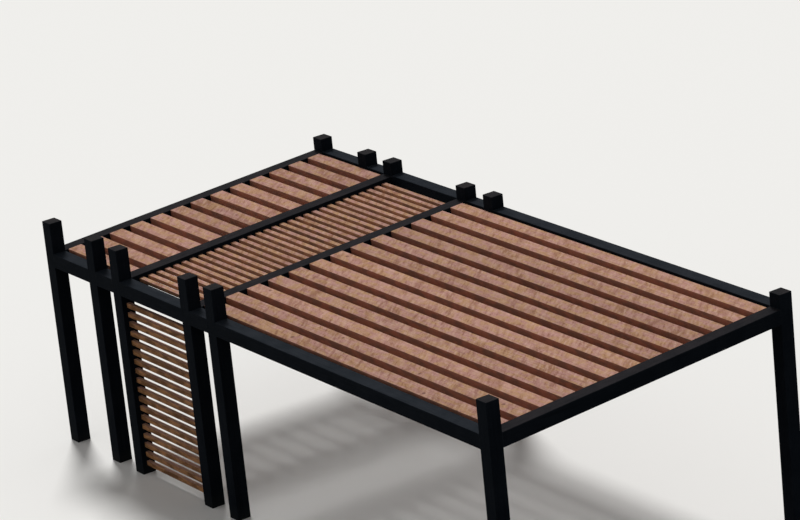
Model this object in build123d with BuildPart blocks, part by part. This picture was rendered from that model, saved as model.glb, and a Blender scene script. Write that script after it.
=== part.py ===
from build123d import *
import math
import os

os.makedirs("parts", exist_ok=True)

# Driving dimensions of the pergola, in millimetres
POST_WIDTH = 180.0
HEIGHT = 2950.0
WIDTH = 4320.0
SMALL_BAY = 1377.0
LARGE_BAY = 5696.0
PAIR_GAP = 378.0
HEAD_ABOVE_BEAM = 403.0
BEAM_DEPTH = 180.0
ROOF_RISE = 237.0
FRAME_EASE = 4.0

RAFTER_COUNT = 13
RAFTER_WIDTH = 190.0
RAFTER_DEPTH = 120.0
RAFTER_EDGE_GAP = 43.0
RAFTER_EASE = 4.0

SLAT_WIDTH = 62.0
SLAT_THICKNESS = 50.0
SLAT_PITCH = 123.0
SLAT_EDGE_GAP = 104.0
SLAT_DROP = 45.0
SLAT_EASE = 2.0

# Places along the long side: each post's left face, from the left end
LENGTH = 4 * POST_WIDTH + 2 * SMALL_BAY + LARGE_BAY
POST_1 = -LENGTH / 2
POST_3 = POST_1 + POST_WIDTH + SMALL_BAY
POST_2 = POST_3 - PAIR_GAP - POST_WIDTH
POST_4 = POST_3 + POST_WIDTH + SMALL_BAY
POST_5 = POST_4 + POST_WIDTH + PAIR_GAP
POST_6 = POST_4 + POST_WIDTH + LARGE_BAY
post_faces = [POST_1, POST_2, POST_3, POST_4, POST_5, POST_6]

# Places across the width, and heights: the roof falls to the near side
NEAR = -WIDTH / 2
FAR = WIDTH / 2
NEAR_TOP = HEIGHT - HEAD_ABOVE_BEAM
FAR_TOP = NEAR_TOP + ROOF_RISE
NEAR_CLEAR = NEAR_TOP - BEAM_DEPTH
FAR_CLEAR = FAR_TOP - BEAM_DEPTH
SLOPE = math.atan2(ROOF_RISE, WIDTH)
INSIDE = (WIDTH - 2 * POST_WIDTH) / math.cos(SLOPE)


def roof_height(y):
    """Height of the roof plane, which runs over the outer top edges of both long beams."""
    return NEAR_TOP + (y - NEAR) * math.tan(SLOPE)


def on_roof(up_slope, below):
    """A point (y, z) this far up the slope from mid-width and this far under the roof plane."""
    y = up_slope * math.cos(SLOPE) + below * math.sin(SLOPE)
    z = roof_height(0) + up_slope * math.sin(SLOPE) - below * math.cos(SLOPE)
    return (y, z)


def save(part, name):
    part.label = name
    export_step(part, f"parts/{name}.step")


# Posts: two rows of six, each with a flat head and eased edges
for side, y in (("near", NEAR), ("far", FAR - POST_WIDTH)):
    for number, x in enumerate(post_faces, start=1):
        with BuildPart() as post:
            with BuildSketch(Plane.XY):
                with Locations((x + POST_WIDTH / 2, y + POST_WIDTH / 2)):
                    Rectangle(POST_WIDTH, POST_WIDTH)
            extrude(amount=HEIGHT)
            chamfer(post.edges().filter_by(Axis.Z), FRAME_EASE)
            chamfer(post.faces().sort_by(Axis.Z)[-1].edges(), FRAME_EASE)
        save(post.part, f"{side}_post_{number}")

# Long beams: level, let in between the posts of each row
for side, y, top in (("near", NEAR, NEAR_TOP), ("far", FAR - POST_WIDTH, FAR_TOP)):
    for number in range(1, len(post_faces)):
        start = post_faces[number - 1] + POST_WIDTH
        end = post_faces[number]
        with BuildPart() as beam:
            with BuildSketch(Plane.YZ.offset(start)) as section:
                with Locations((y + POST_WIDTH / 2, top - BEAM_DEPTH / 2)):
                    Rectangle(POST_WIDTH, BEAM_DEPTH)
                chamfer(section.vertices(), FRAME_EASE)
            extrude(amount=end - start)
        save(beam.part, f"{side}_beam_{number}")

# Cross beams: on the roof slope, with plumb ends against the posts
inner_near = NEAR + POST_WIDTH
inner_far = FAR - POST_WIDTH
for name, x in (("left", POST_1), ("middle_left", POST_3), ("middle_right", POST_4), ("right", POST_6)):
    with BuildPart() as cross:
        with BuildSketch(Plane.YZ.offset(x)):
            with BuildLine():
                Polyline(
                    (inner_near, roof_height(inner_near)),
                    (inner_far, roof_height(inner_far)),
                    (inner_far, roof_height(inner_far) - BEAM_DEPTH),
                    (inner_near, roof_height(inner_near) - BEAM_DEPTH),
                    close=True,
                )
            make_face()
        extrude(amount=POST_WIDTH)
        long_edges = [e for e in cross.edges() if abs(e.length - INSIDE) < 1]
        chamfer(long_edges, FRAME_EASE)
    save(cross.part, f"{name}_cross_beam")

# Rafters: wide timbers flush with the cross beams, running along the long side
rafter_pitch = (INSIDE - 2 * RAFTER_EDGE_GAP - RAFTER_WIDTH) / (RAFTER_COUNT - 1)
rafter_places = [(i - (RAFTER_COUNT - 1) / 2) * rafter_pitch for i in range(RAFTER_COUNT)]
rafter_bays = (("left", POST_1 + POST_WIDTH, SMALL_BAY), ("right", POST_4 + POST_WIDTH, LARGE_BAY))
for name, start, span in rafter_bays:
    with BuildPart() as rafters:
        with BuildSketch(Plane.YZ.offset(start)) as section:
            with Locations([on_roof(s, RAFTER_DEPTH / 2) for s in rafter_places]):
                Rectangle(RAFTER_WIDTH, RAFTER_DEPTH, rotation=math.degrees(SLOPE))
            chamfer(section.vertices(), RAFTER_EASE)
        extrude(amount=span)
    save(rafters.part, f"{name}_bay_rafters")


def slat_places(clear):
    """Even places, centred, for as many slats as the clear distance holds."""
    steps = int((clear - 2 * SLAT_EDGE_GAP - SLAT_WIDTH) / SLAT_PITCH + 0.5)
    return [(i - steps / 2) * SLAT_PITCH for i in range(steps + 1)]


# Roof slats of the middle bay: narrow boards set a little below the cross beams
with BuildPart() as roof_slats:
    with BuildSketch(Plane.YZ.offset(POST_3 + POST_WIDTH)) as section:
        with Locations([on_roof(s, SLAT_DROP + SLAT_THICKNESS / 2) for s in slat_places(INSIDE)]):
            Rectangle(SLAT_WIDTH, SLAT_THICKNESS, rotation=math.degrees(SLOPE))
        chamfer(section.vertices(), SLAT_EASE)
    extrude(amount=SMALL_BAY)
save(roof_slats.part, "middle_bay_roof_slats")

# Slatted screens: the same boards on edge, on the posts' centre line, filling the middle bay
# under each long beam
near_line = NEAR + POST_WIDTH / 2
far_line = FAR - POST_WIDTH / 2
for side, y, clear in (("near", near_line, NEAR_CLEAR), ("far", far_line, FAR_CLEAR)):
    with BuildPart() as screen:
        with BuildSketch(Plane.YZ.offset(POST_3 + POST_WIDTH)) as section:
            with Locations([(y, clear / 2 + s) for s in slat_places(clear)]):
                Rectangle(SLAT_THICKNESS, SLAT_WIDTH)
            chamfer(section.vertices(), SLAT_EASE)
        extrude(amount=SMALL_BAY)
    save(screen.part, f"{side}_screen_slats")
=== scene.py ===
"""Garden pergola: a charcoal painted timber frame with stained rafters, roof slats and screens."""
import math

import bpy
from mathutils import Matrix, Vector


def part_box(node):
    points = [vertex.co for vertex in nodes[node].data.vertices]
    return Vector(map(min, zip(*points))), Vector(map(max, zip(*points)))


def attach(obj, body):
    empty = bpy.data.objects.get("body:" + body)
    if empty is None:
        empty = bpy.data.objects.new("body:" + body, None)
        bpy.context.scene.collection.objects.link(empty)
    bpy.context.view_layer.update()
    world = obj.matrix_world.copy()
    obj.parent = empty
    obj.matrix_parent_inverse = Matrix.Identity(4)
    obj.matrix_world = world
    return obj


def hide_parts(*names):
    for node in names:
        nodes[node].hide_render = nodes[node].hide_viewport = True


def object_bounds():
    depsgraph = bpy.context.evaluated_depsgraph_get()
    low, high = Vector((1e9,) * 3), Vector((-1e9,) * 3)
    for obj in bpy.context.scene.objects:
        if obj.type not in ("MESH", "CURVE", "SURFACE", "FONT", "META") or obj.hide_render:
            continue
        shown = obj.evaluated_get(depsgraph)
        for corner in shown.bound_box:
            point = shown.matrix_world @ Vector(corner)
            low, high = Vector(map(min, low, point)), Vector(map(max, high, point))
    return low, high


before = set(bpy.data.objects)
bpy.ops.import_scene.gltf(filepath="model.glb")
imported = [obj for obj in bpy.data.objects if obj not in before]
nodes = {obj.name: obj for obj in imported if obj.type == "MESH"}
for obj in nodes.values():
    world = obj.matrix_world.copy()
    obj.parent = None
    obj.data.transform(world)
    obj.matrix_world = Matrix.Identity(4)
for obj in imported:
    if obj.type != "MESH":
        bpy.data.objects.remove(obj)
cad_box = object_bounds()

# Sizes of the timbers, in metres, as in the part's source
POST = 0.180
RAFTERS = 13
RAFTER_WIDTH = 0.190
RAFTER_DEPTH = 0.120
RAFTER_EDGE_GAP = 0.043
SLAT_WIDTH = 0.062
SLAT_THICKNESS = 0.050
SLAT_PITCH = 0.123
SLAT_DROP = 0.045
ROOF_SLATS = 31
NEAR_SCREEN_SLATS = 18
FAR_SCREEN_SLATS = 20

# What the scene adds to the boards: eased arrises, a small gap at each end, and a bow off straight
RAFTER_ARRIS = 0.005
SLAT_ARRIS = 0.003
ARRIS_POINTS = 3
BUTT_GAP = 0.001
SHORT_RAFTER_BOW = 0.001
LONG_RAFTER_BOW = 0.003
SLAT_BOW = 0.0015
BOW_WAVES = 1.6
STATIONS = 24

# How far each board's chance number moves it through the textures, so that no two boards are alike
BOW_APART = 90.0
CHANCE_APART = 97.0
BOARDS_APART = (31.0, 17.0, 23.0)

# Growth rings, in metres. They are 5 mm or so apart in the real timber, and drawn about twice as
# coarse, so that they show. Beside a knot they bend by the detour. The pith lies below the board
GROWTH_RING = 0.011
RING_WANDER = 0.030
RING_TAPER = 0.010
RING_DETOUR = 0.026
PITH_WANDER = (0.70, 0.09, 0.09)
PITH_SPREAD = 0.240
PITH_DEPTH = 0.050

# Knots, in metres: the radius of heart, ring and bent grain, and how far apart they may be. The last
# is the share of those places that stays clear
KNOT = 0.013
KNOT_RING = 0.0286
KNOT_REACH = 0.065
KNOT_SPACING = 0.330
CLEAR_SHARE = 0.45

# Marks on the stained timber, in metres along, across and through the board. The damp streaks, and the
# streaks and marks of the saw, are turned by its angle. The saw's marks are 2 mm apart in the real
# timber, and drawn about twice as coarse
STAIN_PATCH = (0.160, 0.080, 0.080)
DAMP_STREAK = (0.120, 0.360, 0.360)
SAW_STREAK = (0.040, 0.160, 0.160)
SIDE_BLOTCH = (0.200, 0.080, 0.080)
SAW_MARK = (0.005, 0.125, 0.125)
FIBRE = (0.300, 0.005, 0.005)
PORE = (0.0900, 0.0018, 0.0018)
DRYING_CHECK = (0.220, 0.004, 0.004)
SAW_ANGLE = math.radians(-40)

# The share of their own tone on the boards' sides, and how deep a full share of the relief is
SIDE_SHARE = 0.85
RELIEF = 0.002

# Marks on the painted timber, in metres: the first three each have their length and width
BRUSH_MARK = (0.360, 0.006)
PAINTED_GRAIN = (0.720, 0.024)
SHRINKAGE_CRACK = (0.810, 0.009)
WEATHERED_PATCH = 0.300
RUBBED_EDGE_AND_HIGHLIGHT = 0.009

# Dust from splashes fades between these heights, which weathering lowers by up to the last
SPLASH_FULL = 0.120
SPLASH_TOP = 0.340
SPLASH_RAGGED = 0.250

# Colours of the stain: pink, tan, paled and browned, and the dark of knots and checks
STAIN = ("#B0847C", "#AF8864", "#C09B89", "#80553F", "#4A2A1E")
# The sides, which keep more of the stain's own orange; their tones also hold painted shade and painted
# bounced light
RAFTER_SIDES = "#A64618"
ROOF_SLAT_SIDES = "#CB8953"
SCREEN_SIDES = "#C68F5F"
# Charcoal coating: fresh, faded, worn paler on the arrises with a painted highlight there, and dusty,
# the dark of its brush marks and grain, and cracks
PAINT = ("#1E252C", "#272D34", "#4A5058", "#454542", "#14191F", "#05070A")
# Tints over the coating: its sides are darker, which is painted shade, and its tops less blue, most
# of all on the posts' end grain
PAINTED_SHADE_ON_SIDES = "#A4A6AC"
POST_TOPS = "#FFD9C6"
BEAM_TOPS = "#E5DDDB"
CROSS_BEAM_TOPS = "#EFCABE"

# The floor as it is seen and as it lights the timber, and the same for the sky
FLOOR_SEEN = "#F2F1EE"
FLOOR_LIGHT = "#5A5A56"
SKY_SEEN = 0.86
SKY_LIGHT = 0.32

# The roof falls to the near side
near_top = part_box("near_beam_1")[1].z
far_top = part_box("far_beam_1")[1].z
WIDTH = cad_box[1].y - cad_box[0].y
SLOPE = math.atan2(far_top - near_top, WIDTH)
INSIDE = (WIDTH - 2 * POST) / math.cos(SLOPE)


def linear(code):
    """An sRGB hex colour as linear RGBA."""
    parts = [int(code[i:i + 2], 16) / 255 for i in (1, 3, 5)]
    return [c / 12.92 if c < 0.04045 else ((c + 0.055) / 1.055) ** 2.4 for c in parts] + [1.0]


def in_use(sockets, name=None):
    """The first socket that a node's settings leave in use, or the first with this name."""
    return next(socket for socket in sockets if socket.enabled and name in (None, socket.name))


def add(tree, kind, inputs=None, **settings):
    """Adds a node with its settings. Each input, by number or name, takes a plain value, another
    node's output, or a node, which stands for its first output."""
    node = tree.nodes.new(kind)
    for name, value in settings.items():
        setattr(node, name, value)
    for key, value in (inputs or {}).items():
        socket = node.inputs[key] if isinstance(key, int) else in_use(node.inputs, key)
        if isinstance(value, bpy.types.Node):
            value = in_use(value.outputs)
        if isinstance(value, bpy.types.NodeSocket):
            tree.links.new(value, socket)
        else:
            socket.default_value = value
    return node


# Boards that repeat: rafters, roof slats and screen slats


def one_board(tree, given):
    """A board along X with eased arrises, which keeps each point's place in it as its grain."""
    end = add(tree, "ShaderNodeCombineXYZ", {"X": given["Length"]})
    line = add(tree, "GeometryNodeCurvePrimitiveLine", {"End": end})
    line = add(tree, "GeometryNodeResampleCurve", {"Curve": line, "Count": STATIONS})
    line = add(tree, "GeometryNodeSetCurveNormal", {"Curve": line}, mode="Z_UP")
    sides = {"Width": given["Width"], "Height": given["Thickness"]}
    section = add(tree, "GeometryNodeCurvePrimitiveQuadrilateral", sides)
    eased = {"Curve": section, "Radius": given["Arris"], "Count": ARRIS_POINTS}
    section = add(tree, "GeometryNodeFilletCurve", eased, mode="POLY")
    swept = {"Curve": line, "Profile Curve": section, "Fill Caps": True}
    board = add(tree, "GeometryNodeCurveToMesh", swept)
    here = add(tree, "GeometryNodeInputPosition")
    grain = {"Geometry": board, "Name": "grain", "Value": here}
    board = add(tree, "GeometryNodeStoreNamedAttribute", grain, data_type="FLOAT_VECTOR")
    along = add(tree, "ShaderNodeSeparateXYZ", {"Vector": here})
    part_way = add(tree, "ShaderNodeMath", {0: along, 1: given["Length"]}, operation="DIVIDE")
    part_way = {"Geometry": board, "Name": "part_way", "Value": part_way}
    return add(tree, "GeometryNodeStoreNamedAttribute", part_way, data_type="FLOAT")


def repeated(tree, given, board):
    """The row: the board at each place, with a chance number of its own."""
    places = {"Count": given["Boards"], "Start Location": given["First"], "Offset": given["Step"]}
    row = add(tree, "GeometryNodeMeshLine", places, mode="OFFSET")
    turn = add(tree, "ShaderNodeCombineXYZ", {"X": given["Tilt"]})
    laid = {"Points": row, "Instance": board, "Rotation": turn}
    row = add(tree, "GeometryNodeInstanceOnPoints", laid)
    chance = add(tree, "FunctionNodeRandomValue", {"Seed": given["Seed"]}, data_type="FLOAT")
    own = {"Geometry": row, "Name": "board", "Value": chance}
    row = add(tree, "GeometryNodeStoreNamedAttribute", own, data_type="FLOAT", domain="INSTANCE")
    return add(tree, "GeometryNodeRealizeInstances", {"Geometry": row})


def bowed(tree, given, row):
    """Each board wanders off straight between its ends, in its own way. The texture runs from 0 to 1,
    so half is taken off and the rest doubled, for a bow to either side."""
    part = add(tree, "GeometryNodeInputNamedAttribute", {"Name": "part_way"}, data_type="FLOAT")
    slow = add(tree, "ShaderNodeMath", {0: part, 1: BOW_WAVES}, operation="MULTIPLY")
    slow = add(tree, "ShaderNodeCombineXYZ", {"X": slow})
    own = add(tree, "GeometryNodeInputNamedAttribute", {"Name": "board"}, data_type="FLOAT")
    own = add(tree, "ShaderNodeMath", {0: own, 1: BOW_APART}, operation="MULTIPLY")
    wander = {"Vector": slow, "W": own, "Scale": 1.0, "Detail": 1.0}
    wander = add(tree, "ShaderNodeTexNoise", wander, noise_dimensions="4D").outputs["Color"]
    wander = add(tree, "ShaderNodeVectorMath", {0: wander, 1: (0.5, 0.5, 0.5)}, operation="SUBTRACT")
    held = add(tree, "ShaderNodeMath", {0: part, 1: math.pi}, operation="MULTIPLY")
    held = add(tree, "ShaderNodeMath", {0: held}, operation="SINE")
    size = add(tree, "ShaderNodeMath", {0: held, 1: given["Bow"]}, operation="MULTIPLY")
    size = add(tree, "ShaderNodeMath", {0: size, 1: 2.0}, operation="MULTIPLY")
    only = add(tree, "ShaderNodeCombineXYZ", {"Y": size, "Z": size})
    wander = add(tree, "ShaderNodeVectorMath", {0: wander, 1: only}, operation="MULTIPLY")
    return add(tree, "GeometryNodeSetPosition", {"Geometry": row, "Offset": wander})


def board_tree():
    """The Geometry Nodes tree for a row of equal boards."""
    tree = bpy.data.node_groups.new("row_of_boards", "GeometryNodeTree")
    face = tree.interface
    face.new_socket("Geometry", in_out="OUTPUT", socket_type="NodeSocketGeometry")
    for name in ("Length", "Width", "Thickness", "Arris", "Tilt", "Bow"):
        face.new_socket(name, in_out="INPUT", socket_type="NodeSocketFloat")
    for name in ("Boards", "Seed"):
        face.new_socket(name, in_out="INPUT", socket_type="NodeSocketInt")
    for name in ("First", "Step"):
        face.new_socket(name, in_out="INPUT", socket_type="NodeSocketVector")
    face.new_socket("Finish", in_out="INPUT", socket_type="NodeSocketMaterial")
    given = add(tree, "NodeGroupInput").outputs
    row = bowed(tree, given, repeated(tree, given, one_board(tree, given)))
    row = add(tree, "GeometryNodeSetMaterial", {"Geometry": row, "Material": given["Finish"]})
    add(tree, "NodeGroupOutput", {"Geometry": row})
    return tree


def lay_boards(tree, name, finish, slot, **sizes):
    """Makes one row of boards as a plain mesh, which stands for the CAD node of that name."""
    piece = bpy.data.objects.new(name + "_boards", bpy.data.meshes.new(name + "_boards"))
    bpy.context.scene.collection.objects.link(piece)
    row = piece.modifiers.new("row", "NODES")
    row.node_group = tree
    sizes["Finish"] = finish
    for socket in tree.interface.items_tree:
        if socket.in_out == "INPUT":
            row[socket.identifier] = sizes[socket.name]
    view = bpy.context.evaluated_depsgraph_get()
    made = piece.evaluated_get(view)
    mesh = bpy.data.meshes.new_from_object(made, preserve_all_data_layers=True, depsgraph=view)
    piece.modifiers.clear()
    piece.data = mesh
    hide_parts(name)
    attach(piece, "root")


def on_roof(up_slope, below):
    """A point (y, z) this far up the slope from mid-width and this far under the roof plane."""
    y = up_slope * math.cos(SLOPE) + below * math.sin(SLOPE)
    z = (near_top + far_top) / 2 + up_slope * math.sin(SLOPE) - below * math.cos(SLOPE)
    return y, z


def lay_on_roof(tree, name, finish, slot, count, pitch, below, **sizes):
    """Lays boards side by side up the roof slope, evenly about the middle."""
    low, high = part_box(name)
    start = -(count - 1) / 2 * pitch
    first = (low.x + BUTT_GAP, *on_roof(start, below))
    step = (0.0, pitch * math.cos(SLOPE), pitch * math.sin(SLOPE))
    place = dict(Length=high.x - low.x - 2 * BUTT_GAP, Boards=count, Tilt=SLOPE, Step=step)
    lay_boards(tree, name, finish, slot, First=first, **place, **sizes)


def stack_in_screen(tree, name, finish, count, **sizes):
    """Stacks slats on edge up a screen, evenly."""
    low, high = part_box(name)
    first = (low.x + BUTT_GAP, (low.y + high.y) / 2, low.z + SLAT_WIDTH / 2)
    place = dict(Length=high.x - low.x - 2 * BUTT_GAP, Boards=count, Tilt=math.pi / 2)
    step = (0.0, 0.0, SLAT_PITCH)
    lay_boards(tree, name, finish, "wood_slats", First=first, Step=step, **place, **sizes)


# Materials


def new_material(name):
    """An empty material with its output and a Principled shader."""
    material = bpy.data.materials.new(name)
    material.use_nodes = True
    tree = material.node_tree
    tree.nodes.clear()
    shader = add(tree, "ShaderNodeBsdfPrincipled")
    add(tree, "ShaderNodeOutputMaterial", {"Surface": shader})
    return material, tree, shader


def texture(tree, place, size, detail=3.0, roughness=0.5, distortion=0.0):
    """Soft irregular texture between 0 and 1, whose features have about this size in metres."""
    scaled = add(tree, "ShaderNodeVectorMath", {0: place, 1: size}, operation="DIVIDE")
    inputs = {"Vector": scaled, "Scale": 1.0, "Detail": detail, "Roughness": roughness}
    inputs["Distortion"] = distortion
    return add(tree, "ShaderNodeTexNoise", inputs)


def tinted(tree, colour, tone, where, most):
    """Lays a tone over the colour, as strongly as a number from 0 to 1 says, up to the most."""
    strength = add(tree, "ShaderNodeMath", {0: where, 1: most}, operation="MULTIPLY")
    inputs = {"Factor": strength, "A": colour, "B": tone}
    return add(tree, "ShaderNodeMix", inputs, data_type="RGBA")


def marked(tree, colour, tone, source, start, full, most=1.0):
    """Lays a tone over the colour where a texture goes from start, with none, to full."""
    inputs = {"Value": source, "From Min": start, "From Max": full}
    where = add(tree, "ShaderNodeMapRange", inputs, interpolation_type="SMOOTHSTEP")
    return tinted(tree, colour, tone, where, most)


def shaded_by(tree, colour, source, start, end, darkest, lightest):
    """Multiplies the colour by a grey, which goes from darkest at start to lightest at end."""
    grey = {"Value": source, "From Min": start, "From Max": end, "To Min": darkest, "To Max": lightest}
    grey = add(tree, "ShaderNodeMapRange", grey, interpolation_type="SMOOTHSTEP")
    grey = add(tree, "ShaderNodeCombineColor", {"Red": grey, "Green": grey, "Blue": grey})
    inputs = {"Factor": 1.0, "A": colour, "B": grey}
    return add(tree, "ShaderNodeMix", inputs, data_type="RGBA", blend_type="MULTIPLY")


def facing_up(tree):
    """1 on faces that look up, 0 on sides and undersides."""
    normal = add(tree, "ShaderNodeNewGeometry").outputs["Normal"]
    upward = add(tree, "ShaderNodeSeparateXYZ", {"Vector": normal}).outputs["Z"]
    turned = {"Value": upward, "From Min": 0.2, "From Max": 0.95}
    return add(tree, "ShaderNodeMapRange", turned, interpolation_type="SMOOTHSTEP")


def knots_in(tree, place):
    """1 in a knot's heart and 0 past its ring, and the same falling off wider, as the grain bends
    round it. About half the places that could have a knot have one."""
    place = add(tree, "ShaderNodeVectorMath", {0: place, 1: (KNOT_SPACING,) * 3}, operation="DIVIDE")
    cells = add(tree, "ShaderNodeTexVoronoi", {"Vector": place, "Scale": 1.0}, voronoi_dimensions="3D")
    chance = add(tree, "ShaderNodeSeparateColor", {"Color": cells.outputs["Color"]})
    grown = add(tree, "ShaderNodeMath", {0: chance, 1: CLEAR_SHARE}, operation="GREATER_THAN")
    falling = []
    for start, end in ((KNOT, KNOT_RING), (0.0, KNOT_REACH)):
        away = {"Value": cells.outputs["Distance"], "From Min": start / KNOT_SPACING}
        away.update({"From Max": end / KNOT_SPACING, "To Min": 1.0, "To Max": 0.0})
        away = add(tree, "ShaderNodeMapRange", away, interpolation_type="SMOOTHSTEP")
        falling.append(add(tree, "ShaderNodeMath", {0: away, 1: grown}, operation="MULTIPLY"))
    return falling


def growth_rings(tree, local, place, chance, around_knots):
    """1 in each ring's dark late wood, 0 in its early wood. The rings run round a pith below the
    board, which wanders and tapers, so they make long arches on the faces and arcs on the ends."""
    wander = texture(tree, place, PITH_WANDER, detail=2.0).outputs["Color"]
    wander = {0: wander, 1: (0.0, RING_WANDER, RING_WANDER)}
    wander = add(tree, "ShaderNodeVectorMath", wander, operation="MULTIPLY")
    pith = {0: chance, 1: (0.0, PITH_SPREAD, -2 * PITH_DEPTH), 2: (0.0, -PITH_SPREAD / 2, -PITH_DEPTH)}
    pith = add(tree, "ShaderNodeVectorMath", pith, operation="MULTIPLY_ADD")
    away = add(tree, "ShaderNodeVectorMath", {0: local, 1: pith}, operation="SUBTRACT")
    away = add(tree, "ShaderNodeVectorMath", {0: away, 1: wander}, operation="ADD")
    away = add(tree, "ShaderNodeVectorMath", {0: away, 1: (0.0, 1.0, 1.0)}, operation="MULTIPLY")
    radius = add(tree, "ShaderNodeVectorMath", {0: away}, operation="LENGTH")
    along = add(tree, "ShaderNodeSeparateXYZ", {"Vector": local}).outputs["X"]
    for source, share in ((along, RING_TAPER), (around_knots, RING_DETOUR)):
        wider = {0: source, 1: share, 2: radius}
        radius = add(tree, "ShaderNodeMath", wider, operation="MULTIPLY_ADD")
    ring = add(tree, "ShaderNodeMath", {0: radius, 1: GROWTH_RING}, operation="DIVIDE")
    ring = add(tree, "ShaderNodeMath", {0: ring}, operation="FRACT")
    darker = {"Value": ring, "From Min": 0.25, "From Max": 0.85}
    darker = add(tree, "ShaderNodeMapRange", darker, interpolation_type="SMOOTHSTEP")
    ended = {"Value": ring, "From Min": 0.88, "From Max": 1.0, "To Min": 1.0, "To Max": 0.0}
    ended = add(tree, "ShaderNodeMapRange", ended, interpolation_type="SMOOTHSTEP")
    return add(tree, "ShaderNodeMath", {0: darker, 1: ended}, operation="MULTIPLY")


def relief(tree, shader, *parts):
    """Raises or sinks the surface by its textures, each by its own share of the relief."""
    height = 0.0
    for source, share in parts:
        height = add(tree, "ShaderNodeMath", {0: source, 1: share, 2: height}, operation="MULTIPLY_ADD")
    bump = add(tree, "ShaderNodeBump", {"Height": height, "Distance": RELIEF})
    tree.links.new(bump.outputs["Normal"], shader.inputs["Normal"])
    return bump


def stained_timber(name, side_tone, width):
    """Rough-sawn softwood with a red-brown stain: it looks mottled pink and tan on top, where sun and
    rain have paled it in streaks along the saw's marks, and darker and browner on the sides, partly
    from stain kept there and partly from painted shade."""
    material, tree, shader = new_material(name)
    pink, tan, pale, brown, dark = [linear(tone) for tone in STAIN]
    local = add(tree, "ShaderNodeAttribute", attribute_name="grain").outputs["Vector"]
    own = add(tree, "ShaderNodeAttribute", attribute_name="board").outputs["Fac"]
    seed = add(tree, "ShaderNodeMath", {0: own, 1: CHANCE_APART}, operation="MULTIPLY")
    chance = add(tree, "ShaderNodeTexWhiteNoise", {"W": seed}, noise_dimensions="1D").outputs["Color"]
    place = {0: chance, 1: BOARDS_APART, 2: local}
    place = add(tree, "ShaderNodeVectorMath", place, operation="MULTIPLY_ADD")
    sawn = add(tree, "ShaderNodeMapping", {"Vector": place, "Rotation": (0.0, 0.0, SAW_ANGLE)})
    patches = texture(tree, place, STAIN_PATCH, detail=2.0)
    damp = texture(tree, sawn, DAMP_STREAK, detail=2.0)
    streaks = texture(tree, sawn, SAW_STREAK, roughness=0.65)
    colour = marked(tree, pink, tan, patches, start=0.42, full=0.58)
    colour = marked(tree, colour, brown, damp, start=0.50, full=0.70, most=0.7)
    colour = marked(tree, colour, pale, streaks, start=0.48, full=0.66, most=0.8)
    colour = marked(tree, colour, brown, streaks, start=0.46, full=0.30, most=0.8)
    # The sides' own tone: partly stain kept from the weather, partly painted shade and bounced light.
    # Their random blotches also darken them as a whole, which is more painted shade.
    shaded = {"Factor": SIDE_SHARE, "A": colour, "B": linear(side_tone)}
    shaded = add(tree, "ShaderNodeMix", shaded, data_type="RGBA")
    side_blotches_and_shade = texture(tree, place, SIDE_BLOTCH)
    shaded = shaded_by(tree, shaded, side_blotches_and_shade, start=0.38, end=0.62, darkest=0.45, lightest=1.32)
    sides = {"Factor": facing_up(tree), "A": shaded, "B": colour}
    colour = add(tree, "ShaderNodeMix", sides, data_type="RGBA")
    saw = texture(tree, sawn, SAW_MARK, detail=2.0)
    colour = marked(tree, colour, brown, saw, start=0.50, full=0.70, most=0.22)
    knots, around = knots_in(tree, place)
    rings = growth_rings(tree, local, place, chance, around)
    colour = tinted(tree, colour, brown, rings, most=0.32)
    fibre = texture(tree, place, FIBRE, detail=4.0, roughness=0.65)
    colour = marked(tree, colour, brown, fibre, start=0.52, full=0.75, most=0.45)
    pores = texture(tree, place, PORE, detail=2.0)
    colour = marked(tree, colour, dark, pores, start=0.55, full=0.72, most=0.35)
    colour = tinted(tree, colour, dark, knots, most=0.8)
    checks = texture(tree, place, DRYING_CHECK, detail=1.0)
    checks = {"Value": checks, "From Min": 0.70, "From Max": 0.76}
    checks = add(tree, "ShaderNodeMapRange", checks, interpolation_type="SMOOTHSTEP")
    colour = tinted(tree, colour, dark, checks, most=0.7)
    across = add(tree, "ShaderNodeSeparateXYZ", {"Vector": local}).outputs["Y"]
    across = add(tree, "ShaderNodeMath", {0: across}, operation="ABSOLUTE")
    edge = add(tree, "ShaderNodeMath", {0: across, 1: width / 2}, operation="DIVIDE")
    colour = marked(tree, colour, pale, edge, start=0.94, full=1.0, most=0.35)
    colour = shaded_by(tree, colour, own, start=0.0, end=1.0, darkest=0.90, lightest=1.08)
    tree.links.new(in_use(colour.outputs), shader.inputs["Base Color"])
    dull = {"Value": fibre, "From Min": 0.3, "From Max": 0.8, "To Min": 0.65, "To Max": 0.85}
    dull = add(tree, "ShaderNodeMapRange", dull, interpolation_type="SMOOTHSTEP")
    tree.links.new(in_use(dull.outputs), shader.inputs["Roughness"])
    shader.inputs["Specular IOR Level"].default_value = 0.08
    bump = relief(tree, shader, (fibre, 0.5), (saw, 0.5), (rings, 0.25), (checks, -0.9))
    bump.inputs["Strength"].default_value = 0.7
    return material


def rubbed_edges_and_highlight(tree, weather):
    """Up to 1 on arrises, where the coating has worn thin in places and a painted highlight runs along
    them, and 0 on flat faces.
    """
    rounded = add(tree, "ShaderNodeBevel", {"Radius": RUBBED_EDGE_AND_HIGHLIGHT}, samples=8)
    flat = add(tree, "ShaderNodeNewGeometry").outputs["Normal"]
    alike = add(tree, "ShaderNodeVectorMath", {0: rounded, 1: flat}, operation="DOT_PRODUCT")
    edge = {"Value": alike, "From Min": 0.75, "From Max": 0.99, "To Min": 1.0, "To Max": 0.0}
    edge = add(tree, "ShaderNodeMapRange", edge, interpolation_type="SMOOTHSTEP")
    rubbed_and_highlight = {"Value": weather, "From Min": 0.35, "From Max": 0.65, "To Min": 0.4, "To Max": 1.0}
    rubbed_and_highlight = add(tree, "ShaderNodeMapRange", rubbed_and_highlight, interpolation_type="SMOOTHSTEP")
    return add(tree, "ShaderNodeMath", {0: edge, 1: rubbed_and_highlight}, operation="MULTIPLY")


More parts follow.
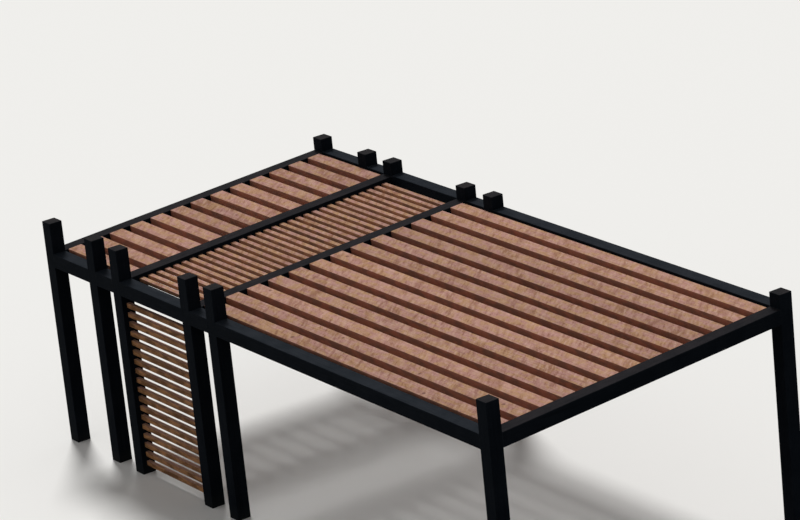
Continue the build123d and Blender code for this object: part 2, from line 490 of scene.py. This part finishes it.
def painted_timber(name, along, top_tone):
    """Planed softwood under a matt charcoal coating: nearly black, with brush marks along the timber,
    the grain just showing through, a few shrinkage cracks, worn edges with a painted highlight along
    them, dust from splashes near the ground, and sides darker than the tops, which is painted shade."""
    material, tree, shader = new_material(name)
    fresh, faded, rubbed_and_highlight, dusty, deep, crack = [linear(tone) for tone in PAINT]
    place = add(tree, "ShaderNodeTexCoord").outputs["Object"]
    marks = (BRUSH_MARK, PAINTED_GRAIN, SHRINKAGE_CRACK)
    brush, grain, cracks = [[long if axis == along else wide for axis in "xyz"] for long, wide in marks]
    brush = texture(tree, place, brush, detail=4.0, roughness=0.6)
    grain = texture(tree, place, grain, roughness=0.6, distortion=0.3)
    cracks = texture(tree, place, cracks, detail=1.5)
    cracks = {"Value": cracks, "From Min": 0.715, "From Max": 0.75}
    cracks = add(tree, "ShaderNodeMapRange", cracks, interpolation_type="SMOOTHSTEP")
    weather = texture(tree, place, (WEATHERED_PATCH,) * 3, detail=4.0, roughness=0.6)
    colour = marked(tree, fresh, faded, weather, start=0.35, full=0.65)
    colour = marked(tree, colour, deep, brush, start=0.50, full=0.75, most=0.6)
    colour = marked(tree, colour, deep, grain, start=0.50, full=0.70, most=0.5)
    colour = tinted(tree, colour, crack, cracks, most=0.9)
    height = add(tree, "ShaderNodeSeparateXYZ", {"Vector": place}).outputs["Z"]
    splash = {0: weather, 1: SPLASH_RAGGED, 2: height}
    splash = add(tree, "ShaderNodeMath", splash, operation="MULTIPLY_ADD")
    colour = marked(tree, colour, dusty, splash, start=SPLASH_TOP, full=SPLASH_FULL, most=0.45)
    # The sides take a darker tint than the tops, which is painted shade; the tops take their own tint.
    faces = []
    for tint in (PAINTED_SHADE_ON_SIDES, top_tone):
        tint = {"Factor": 1.0, "A": colour, "B": linear(tint)}
        faces.append(add(tree, "ShaderNodeMix", tint, data_type="RGBA", blend_type="MULTIPLY"))
    sides = {"Factor": facing_up(tree), "A": faces[0], "B": faces[1]}
    colour = add(tree, "ShaderNodeMix", sides, data_type="RGBA")
    # Paler paint along the arrises: partly worn coating, partly a painted highlight.
    colour = tinted(tree, colour, rubbed_and_highlight, rubbed_edges_and_highlight(tree, weather), most=0.6)
    tree.links.new(in_use(colour.outputs), shader.inputs["Base Color"])
    dull = {"Value": brush, "From Min": 0.3, "From Max": 0.8, "To Min": 0.55, "To Max": 0.72}
    dull = add(tree, "ShaderNodeMapRange", dull, interpolation_type="SMOOTHSTEP")
    tree.links.new(in_use(dull.outputs), shader.inputs["Roughness"])
    shader.inputs["Specular IOR Level"].default_value = 0.01
    bump = relief(tree, shader, (brush, 0.5), (grain, 0.6), (cracks, -1.0))
    bump.inputs["Strength"].default_value = 0.6
    return material


def dress(material, *names):
    """Gives CAD nodes a material, in their own slots."""
    for name in names:
        for place in nodes[name].material_slots:
            place.material = material


def dress_frame():
    """Paints the posts, the long beams and the cross beams, each along its own length."""
    posts = [name for name in nodes if "post" in name]
    dress(painted_timber("charcoal_painted_upright_timber", "z", POST_TOPS), *posts)
    beams = [name for name in nodes if name.startswith(("near_beam", "far_beam"))]
    dress(painted_timber("charcoal_painted_long_timber", "x", BEAM_TOPS), *beams)
    cross = [name for name in nodes if name.endswith("cross_beam")]
    dress(painted_timber("charcoal_painted_cross_timber", "y", CROSS_BEAM_TOPS), *cross)


def lay_timbers():
    """Lays the rafters of both end bays, the middle bay's roof slats and the slats of both screens."""
    tree = board_tree()
    rafter = stained_timber("rough_sawn_stained_rafter", RAFTER_SIDES, RAFTER_WIDTH)
    slat = stained_timber("rough_sawn_stained_roof_slat", ROOF_SLAT_SIDES, SLAT_WIDTH)
    screen = stained_timber("rough_sawn_stained_screen_slat", SCREEN_SIDES, SLAT_WIDTH)
    pitch = (INSIDE - 2 * RAFTER_EDGE_GAP - RAFTER_WIDTH) / (RAFTERS - 1)
    sizes = dict(Width=RAFTER_WIDTH, Thickness=RAFTER_DEPTH, Arris=RAFTER_ARRIS)
    row = (rafter, "wood_rafters", RAFTERS, pitch, RAFTER_DEPTH / 2)
    lay_on_roof(tree, "left_bay_rafters", *row, Bow=SHORT_RAFTER_BOW, Seed=3, **sizes)
    lay_on_roof(tree, "right_bay_rafters", *row, Bow=LONG_RAFTER_BOW, Seed=8, **sizes)
    sizes = dict(Width=SLAT_WIDTH, Thickness=SLAT_THICKNESS, Arris=SLAT_ARRIS, Bow=SLAT_BOW)
    row = (slat, "wood_slats", ROOF_SLATS, SLAT_PITCH, SLAT_DROP + SLAT_THICKNESS / 2)
    lay_on_roof(tree, "middle_bay_roof_slats", *row, Seed=5, **sizes)
    stack_in_screen(tree, "near_screen_slats", screen, NEAR_SCREEN_SLATS, Seed=11, **sizes)
    stack_in_screen(tree, "far_screen_slats", screen, FAR_SCREEN_SLATS, Seed=12, **sizes)


# Floor, light and camera


def seen_directly(tree):
    """1 for camera, glossy and transmission rays, so the pale ground and sky show in gloss too."""
    path = add(tree, "ShaderNodeLightPath").outputs
    both = {0: path["Is Camera Ray"], 1: path["Is Glossy Ray"]}
    both = add(tree, "ShaderNodeMath", both, operation="MAXIMUM")
    through = {0: both, 1: path["Is Transmission Ray"]}
    return add(tree, "ShaderNodeMath", through, operation="MAXIMUM")


def make_floor():
    """A plain pale floor. It looks pale, and sends back little light, as mown ground does."""
    mesh = bpy.data.meshes.new("floor")
    reach = 400.0
    corners = [(-reach, -reach, 0), (reach, -reach, 0), (reach, reach, 0), (-reach, reach, 0)]
    mesh.from_pydata(corners, [], [(0, 1, 2, 3)])
    floor = bpy.data.objects.new("floor", mesh)
    bpy.context.scene.collection.objects.link(floor)
    material, tree, shader = new_material("pale_floor")
    shown = {"Factor": seen_directly(tree), "A": linear(FLOOR_LIGHT), "B": linear(FLOOR_SEEN)}
    shown = add(tree, "ShaderNodeMix", shown, data_type="RGBA")
    tree.links.new(in_use(shown.outputs), shader.inputs["Base Color"])
    shader.inputs["Roughness"].default_value = 1.0
    shader.inputs["Specular IOR Level"].default_value = 0.0
    mesh.materials.append(material)


def light_scene():
    """A soft high key light from behind the far side, and an even pale sky."""
    lamp = bpy.data.lights.new("key", "SUN")
    lamp.energy = 2.5
    lamp.angle = math.radians(14)
    key = bpy.data.objects.new("key", lamp)
    towards = Vector((-0.60, 0.32, 1.0))
    key.rotation_euler = towards.to_track_quat("Z", "Y").to_euler()
    bpy.context.scene.collection.objects.link(key)
    world = bpy.data.worlds.new("sky")
    world.use_nodes = True
    tree = world.node_tree
    tree.nodes.clear()
    strength = {"Value": seen_directly(tree), "To Min": SKY_LIGHT, "To Max": SKY_SEEN}
    strength = add(tree, "ShaderNodeMapRange", strength, interpolation_type="SMOOTHSTEP")
    sky = add(tree, "ShaderNodeBackground", {"Color": (1.0, 1.0, 1.0, 1.0), "Strength": strength})
    add(tree, "ShaderNodeOutputWorld", {"Surface": sky})
    bpy.context.scene.world = world


def place_camera():
    """A long lens from the near right corner, above the roof, tipped a little as the photograph is."""
    heading = math.radians(55.873)
    down = math.radians(19.512)
    tip = math.radians(-5.847)
    level_ahead = Vector((-math.sin(heading), math.cos(heading), 0.0))
    ahead = level_ahead * math.cos(down) - Vector((0.0, 0.0, math.sin(down)))
    level = Vector((math.cos(heading), math.sin(heading), 0.0))
    over = level.cross(ahead)
    right = level * math.cos(tip) + over * math.sin(tip)
    up = over * math.cos(tip) - level * math.sin(tip)
    stand = (34.845, -23.571, 17.778)
    data = bpy.data.cameras.new("camera")
    data.sensor_width = 36.0
    data.lens = 169.61
    data.clip_end = 1000.0
    camera = bpy.data.objects.new("camera", data)
    turn = Matrix((right, up, -ahead)).transposed().to_4x4()
    camera.matrix_world = Matrix.Translation(stand) @ turn
    bpy.context.scene.collection.objects.link(camera)
    bpy.context.scene.camera = camera


dress_frame()
lay_timbers()
make_floor()
light_scene()
place_camera()
bpy.context.scene.view_settings.view_transform = "Standard"
